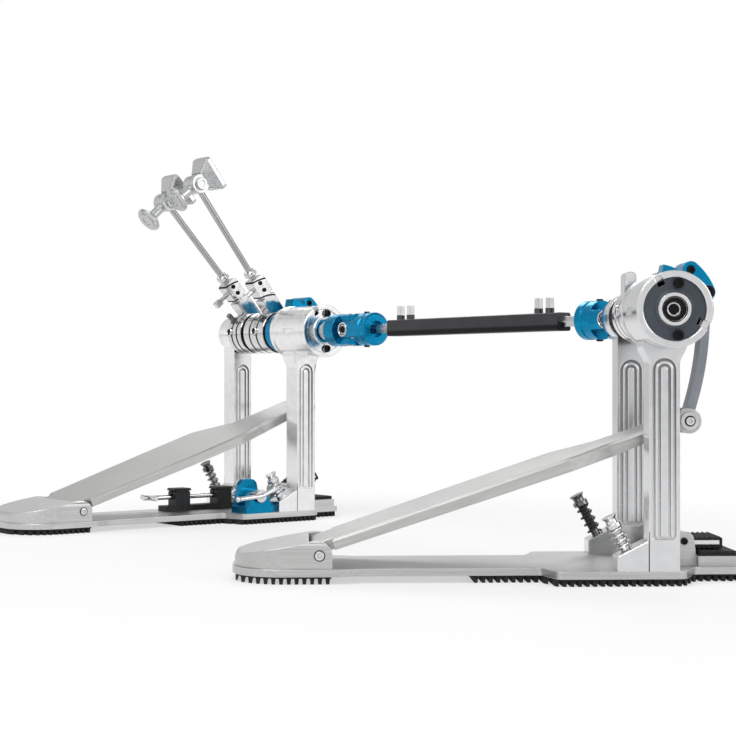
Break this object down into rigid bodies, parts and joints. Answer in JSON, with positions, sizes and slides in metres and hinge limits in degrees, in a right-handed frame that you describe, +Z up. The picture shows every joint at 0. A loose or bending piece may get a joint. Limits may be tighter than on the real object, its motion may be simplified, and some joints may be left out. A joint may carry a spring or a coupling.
{
  "type": "double bass drum pedal",
  "caption": "Pair of foot pedals on ribbed base plates, joined by a telescoping drive shaft with universal joints, so each foot swings its own beater.",
  "frame": {"origin": "on the floor, under the middle of the bounding box of the whole set", "axes": "+X from the primary pedal's heel to its drum clamp, +Y to the player's left along the primary axle, +Z up"},
  "size_m": [0.3666, 0.7222, 0.3472],
  "materials": {
    "cast_silver": "polished cast",
    "satin_silver": "satin brushed",
    "bright_steel": "polished",
    "dark_steel": "dark oxide",
    "blue_anodised": "anodised satin",
    "slate": "satin",
    "grey_link": "satin",
    "black_sleeve": "satin",
    "black_plastic": "matte",
    "rubber": "matte",
    "rod_steel": "ground"
  },
  "bodies": {
    "primary_base": {"primary_base_plate": "satin_silver", "primary_rubber_pads": "rubber", "primary_heel_block": "satin_silver", "primary_left_post": "cast_silver", "primary_right_post": "cast_silver", "primary_spring_housing": "cast_silver", "primary_tension_plate": "cast_silver", "primary_torsion_spring": "dark_steel", "primary_bearings": "rod_steel", "primary_fasteners": "bright_steel", "primary_spur_springs": "bright_steel", "clamp_bracket": "blue_anodised", "key_holder": "black_plastic"},
    "primary_pedal": {"primary_footboard": "satin_silver"},
    "primary_rocker": {"primary_axle": "rod_steel", "primary_drive_cam": "blue_anodised", "primary_beater_hub": "bright_steel"},
    "primary_link": {"primary_drive_link": "grey_link", "primary_link_pins": "bright_steel"},
    "primary_jaw": {"primary_clamp_jaw": "bright_steel", "primary_jaw_pad": "rubber"},
    "primary_spurs": {"primary_spur_screws": "bright_steel"},
    "secondary_base": {"secondary_base_plate": "satin_silver", "secondary_rubber_pads": "rubber", "secondary_heel_block": "satin_silver", "secondary_left_post": "cast_silver", "secondary_right_post": "cast_silver", "secondary_spring_housing": "cast_silver", "secondary_tension_plate": "slate", "secondary_torsion_spring": "dark_steel", "secondary_bearings": "rod_steel", "secondary_fasteners": "bright_steel", "secondary_spur_springs": "bright_steel"},
    "secondary_pedal": {"secondary_footboard": "satin_silver"},
    "secondary_rocker": {"secondary_axle": "rod_steel", "secondary_drive_cam": "blue_anodised", "secondary_beater_hub": "bright_steel", "secondary_axle_yoke": "blue_anodised"},
    "secondary_link": {"secondary_drive_link": "grey_link", "secondary_link_pins": "bright_steel"},
    "secondary_jaw": {"secondary_clamp_jaw": "bright_steel", "secondary_jaw_pad": "rubber"},
    "secondary_spurs": {"secondary_spur_screws": "bright_steel"},
    "beater_shaft": {"through_shaft": "rod_steel", "left_beater_hub": "bright_steel", "primary_axle_yoke": "blue_anodised"},
    "left_beater": {"left_beater_rod": "bright_steel"},
    "left_head": {"left_beater_head": "satin_silver"},
    "right_beater": {"right_beater_rod": "bright_steel"},
    "right_head": {"right_beater_head": "satin_silver"},
    "sleeve": {"drive_sleeve": "black_sleeve", "sleeve_screws": "bright_steel", "primary_rod": "rod_steel", "primary_shaft_yoke": "blue_anodised"},
    "inner_rod": {"secondary_rod": "rod_steel", "secondary_shaft_yoke": "blue_anodised"},
    "primary_cross": {"primary_joint_cross": "bright_steel"},
    "secondary_cross": {"secondary_joint_cross": "bright_steel"},
    "lever": {"clamp_lever": "bright_steel"},
    "key": {"drum_key": "bright_steel"}
  },
  "joints": [
    {"name": "primary_footboard_press", "type": "hinge", "parent": "primary_base", "child": "primary_pedal", "pos_m": [-0.10167, 0.28712, 0.019], "axis": [0, 1, 0], "range_deg": [0, 6.5], "stiffness_Nm_per_rad": 17, "springref_deg": -8.59},
    {"name": "primary_axle_turn", "type": "hinge", "parent": "primary_base", "child": "primary_rocker", "pos_m": [0.12433, 0.28712, 0.181], "axis": [0, 1, 0], "range_deg": [0, 43.11]},
    {"name": "primary_link_swing", "type": "hinge", "parent": "primary_rocker", "child": "primary_link", "pos_m": [0.15959, 0.28712, 0.19489], "axis": [0, -1, 0], "range_deg": [0, 47.82]},
    {"name": "primary_jaw_open", "type": "hinge", "parent": "primary_base", "child": "primary_jaw", "pos_m": [0.14633, 0.28712, 0.026], "axis": [0, -1, 0], "range_deg": [-34, 8]},
    {"name": "primary_spur_screw_out", "type": "slide", "parent": "primary_base", "child": "primary_spurs", "axis": [-0.454, 0, 0.891], "range_m": [0, 0.008]},
    {"name": "secondary_footboard_press", "type": "hinge", "parent": "secondary_base", "child": "secondary_pedal", "pos_m": [-0.12366, -0.13814, 0.019], "axis": [0.5807, 0.8141, 0], "range_deg": [0, 6.5], "stiffness_Nm_per_rad": 17, "springref_deg": -8.59},
    {"name": "secondary_axle_turn", "type": "hinge", "parent": "secondary_base", "child": "secondary_rocker", "pos_m": [0.06033, -0.26938, 0.181], "axis": [0.5807, 0.8141, 0], "range_deg": [0, 43.11]},
    {"name": "secondary_link_swing", "type": "hinge", "parent": "secondary_rocker", "child": "secondary_link", "pos_m": [0.08903, -0.28986, 0.19489], "axis": [-0.5807, -0.8141, 0], "range_deg": [0, 47.82]},
    {"name": "secondary_jaw_open", "type": "hinge", "parent": "secondary_base", "child": "secondary_jaw", "pos_m": [0.07824, -0.28215, 0.026], "axis": [-0.5807, -0.8141, 0], "range_deg": [0, 42]},
    {"name": "secondary_spur_screw_out", "type": "slide", "parent": "secondary_base", "child": "secondary_spurs", "axis": [-0.3696, 0.2636, 0.891], "range_m": [0, 0.008]},
    {"name": "shaft_length", "type": "slide", "parent": "primary_base", "child": "secondary_base", "axis": [-0.0211, -0.9998, 0], "range_m": [-0.018, 0.045]},
    {"name": "inner_rod_turn", "type": "hinge", "parent": "secondary_base", "child": "inner_rod", "pos_m": [0.11723, -0.1896, 0.181], "axis": [0.0211, 0.9998, 0], "range_deg": [0, 37.2]},
    {"name": "secondary_cross_swing", "type": "hinge", "parent": "secondary_rocker", "child": "secondary_cross", "pos_m": [0.11723, -0.1896, 0.181], "axis": [0, 0, 1], "range_deg": [-6.49, 0]},
    {"name": "sleeve_turn", "type": "hinge", "parent": "primary_base", "child": "sleeve", "pos_m": [0.12433, 0.14612, 0.181], "axis": [0.0211, 0.9998, 0], "range_deg": [0, 37.2]},
    {"name": "beater_shaft_turn", "type": "hinge", "parent": "primary_base", "child": "beater_shaft", "pos_m": [0.12433, 0.28712, 0.181], "axis": [0, 1, 0], "range_deg": [0, 37.2]},
    {"name": "primary_cross_swing", "type": "hinge", "parent": "beater_shaft", "child": "primary_cross", "pos_m": [0.12433, 0.14612, 0.181], "axis": [0, 0, 1], "range_deg": [0, 0.25]},
    {"name": "left_beater_height", "type": "slide", "parent": "beater_shaft", "child": "left_beater", "axis": [-0.6756, 0, 0.7373], "range_m": [-0.0025, 0.012]},
    {"name": "left_head_swivel", "type": "hinge", "parent": "left_beater", "child": "left_head", "pos_m": [0.02932, 0.32312, 0.30689], "axis": [-0.6756, 0, 0.7373], "range_deg": [-30, 30]},
    {"name": "right_beater_height", "type": "slide", "parent": "primary_rocker", "child": "right_beater", "axis": [-0.6018, 0, 0.7986], "range_m": [-0.0025, 0.012]},
    {"name": "right_head_swivel", "type": "hinge", "parent": "right_beater", "child": "right_head", "pos_m": [0.03761, 0.28212, 0.321], "axis": [-0.6018, 0, 0.7986], "range_deg": [-30, 30]},
    {"name": "clamp_lever_swing", "type": "hinge", "parent": "primary_base", "child": "lever", "pos_m": [0.07333, 0.28712, 0.026], "axis": [0, 1, 0], "range_deg": [0, 55]},
    {"name": "key_pull", "type": "slide", "parent": "primary_base", "child": "key", "axis": [1, 0, 0], "range_m": [0, 0.02]}
  ],
  "couplings": [
    {"joint": "primary_axle_turn", "follows": "primary_footboard_press", "ratio": 6.624},
    {"joint": "primary_link_swing", "follows": "primary_footboard_press", "ratio": 7.35},
    {"joint": "secondary_axle_turn", "follows": "secondary_footboard_press", "ratio": 6.624},
    {"joint": "secondary_link_swing", "follows": "secondary_footboard_press", "ratio": 7.35},
    {"joint": "inner_rod_turn", "follows": "secondary_footboard_press", "ratio": 5.715},
    {"joint": "secondary_cross_swing", "follows": "secondary_footboard_press", "ratio": -0.991},
    {"joint": "sleeve_turn", "follows": "secondary_footboard_press", "ratio": 5.715},
    {"joint": "beater_shaft_turn", "follows": "secondary_footboard_press", "ratio": 5.716},
    {"joint": "primary_cross_swing", "follows": "secondary_footboard_press", "ratio": 0.031}
  ]
}
